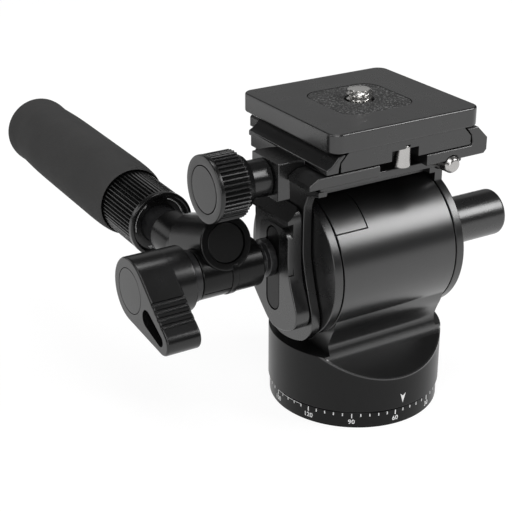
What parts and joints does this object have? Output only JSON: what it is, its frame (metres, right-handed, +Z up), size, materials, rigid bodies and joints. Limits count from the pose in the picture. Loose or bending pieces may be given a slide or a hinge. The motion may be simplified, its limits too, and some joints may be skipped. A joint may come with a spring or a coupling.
{
  "type": "fluid head",
  "caption": "Small fluid head with a panning base, drag barrel, tilting quick release clamp and plate, and a telescopic pan handle with a foam grip.",
  "frame": {"origin": "middle of the base's underside, on the pan axis, at the mouth of the tripod thread", "axes": "+Z up along the pan axis, -Y to the front where the lens points, +X to the viewer's right seen from the front, tilt axis along X"},
  "size_m": [0.1087, 0.1366, 0.082],
  "materials": {
    "anodised": "satin black anodised, fine blasted",
    "dark_anodised": "dull black anodised",
    "matte_black": "matte black moulded",
    "steel": "bright turned stainless",
    "black_steel": "black oxide",
    "brass": "turned",
    "acetal": "moulded",
    "rubber": "speckled matte",
    "foam": "closed cell foam, fine pores"
  },
  "bodies": {
    "base": {"base_ring": "anodised", "thread_bush": "steel", "thrust_washer": "acetal", "retaining_washer": "steel", "spindle_screw": "black_steel"},
    "pan": {"pan_body": "anodised", "barrel_cover": "anodised", "pan_bush": "brass", "end_cap_left": "dark_anodised", "tilt_bearing_left": "steel", "end_cap_right": "dark_anodised", "tilt_bearing_right": "steel", "drag_stator_1": "brass", "drag_stator_2": "brass"},
    "pan_lock_pad": {"pan_lock_pad": "brass"},
    "pan_lock_knob": {"pan_lock_screw": "steel", "pan_lock_knob": "dark_anodised"},
    "tilt": {"cradle": "anodised", "tilt_shaft": "steel", "shaft_screw": "black_steel", "arm_inner_plate": "anodised", "arm_outer_slab": "anodised", "arm_strip": "matte_black", "arm_screw_1": "black_steel", "arm_screw_2": "black_steel", "slab_screw_1": "black_steel", "slab_screw_2": "black_steel", "right_stub": "anodised", "handle_stub": "black_steel", "clamp_body": "anodised", "clamp_screw_1": "black_steel", "clamp_screw_2": "black_steel", "guide_pin_1": "steel", "guide_pin_2": "steel", "drag_rotor_1": "steel", "drag_rotor_2": "steel", "drag_rotor_3": "steel"},
    "jaw": {"moving_jaw": "anodised"},
    "qr_knob": {"qr_knob": "anodised", "knob_cap": "dark_anodised", "jaw_screw": "steel"},
    "safety_catch": {"safety_catch": "steel", "catch_spring": "steel"},
    "plate": {"qr_plate": "anodised", "plate_pad": "rubber", "plate_stop_front": "steel", "plate_stop_back": "steel"},
    "camera_screw": {"camera_screw": "steel"},
    "lever": {"lever": "anodised", "lever_cap": "dark_anodised", "lever_screw": "steel", "lever_nut": "black_steel"},
    "handle": {"handle_knuckle": "dark_anodised", "knuckle_cap": "matte_black", "inner_tube": "black_steel"},
    "grip": {"outer_tube": "dark_anodised", "foam_grip": "foam", "grip_plug": "matte_black", "lock_collet": "acetal"},
    "lock_collar": {"lock_collar": "dark_anodised"}
  },
  "joints": [
    {"name": "pan_turn", "type": "hinge", "parent": "base", "child": "pan", "pos_m": [0, 0, 0.005], "axis": [0, 0, 1], "continuous": true},
    {"name": "pan_lock_press", "type": "slide", "parent": "pan", "child": "pan_lock_pad", "axis": [0, -1, 0], "range_m": [0, 0.00035]},
    {"name": "pan_lock_turn", "type": "hinge", "parent": "pan_lock_pad", "child": "pan_lock_knob", "pos_m": [0, 0.0273, 0.0116], "axis": [0, -1, 0], "range_deg": [0, 180]},
    {"name": "tilt_turn", "type": "hinge", "parent": "pan", "child": "tilt", "pos_m": [0, 0, 0.0408], "axis": [1, 0, 0], "range_deg": [-75, 90]},
    {"name": "jaw_open", "type": "slide", "parent": "tilt", "child": "jaw", "axis": [-1, 0, 0], "range_m": [0, 0.0028]},
    {"name": "qr_knob_turn", "type": "hinge", "parent": "jaw", "child": "qr_knob", "pos_m": [-0.035, -0.004, 0.0666], "axis": [-1, 0, 0], "range_deg": [0, 720]},
    {"name": "safety_catch_press", "type": "slide", "parent": "tilt", "child": "safety_catch", "axis": [0, 1, 0], "range_m": [0, 0.002], "stiffness_N_per_m": 400, "springref_m": -0.002},
    {"name": "plate_slide", "type": "slide", "parent": "tilt", "child": "plate", "axis": [0, 1, 0], "range_m": [-0.008, 0.0035]},
    {"name": "camera_screw_turn", "type": "hinge", "parent": "plate", "child": "camera_screw", "pos_m": [0, 0.001, 0.0794], "axis": [0, 0, 1], "continuous": true},
    {"name": "lever_turn", "type": "hinge", "parent": "tilt", "child": "lever", "pos_m": [-0.0574, 0, 0.0438], "axis": [1, 0, 0], "range_deg": [0, 100]},
    {"name": "handle_angle", "type": "hinge", "parent": "tilt", "child": "handle", "pos_m": [-0.0406, 0, 0.0438], "axis": [1, 0, 0], "range_deg": [-70, 40]},
    {"name": "grip_slide", "type": "slide", "parent": "handle", "child": "grip", "axis": [0, 0.9994, 0.0349], "range_m": [0, 0.055]},
    {"name": "lock_collar_turn", "type": "hinge", "parent": "grip", "child": "lock_collar", "pos_m": [-0.0406, 0.03898, 0.04516], "axis": [0, 0.9994, 0.0349], "range_deg": [0, 90]}
  ],
  "couplings": [
    {"joint": "pan_lock_turn", "follows": "pan_lock_press", "rad_per_m": 8975},
    {"joint": "qr_knob_turn", "follows": "jaw_open", "rad_per_m": 4487}
  ]
}
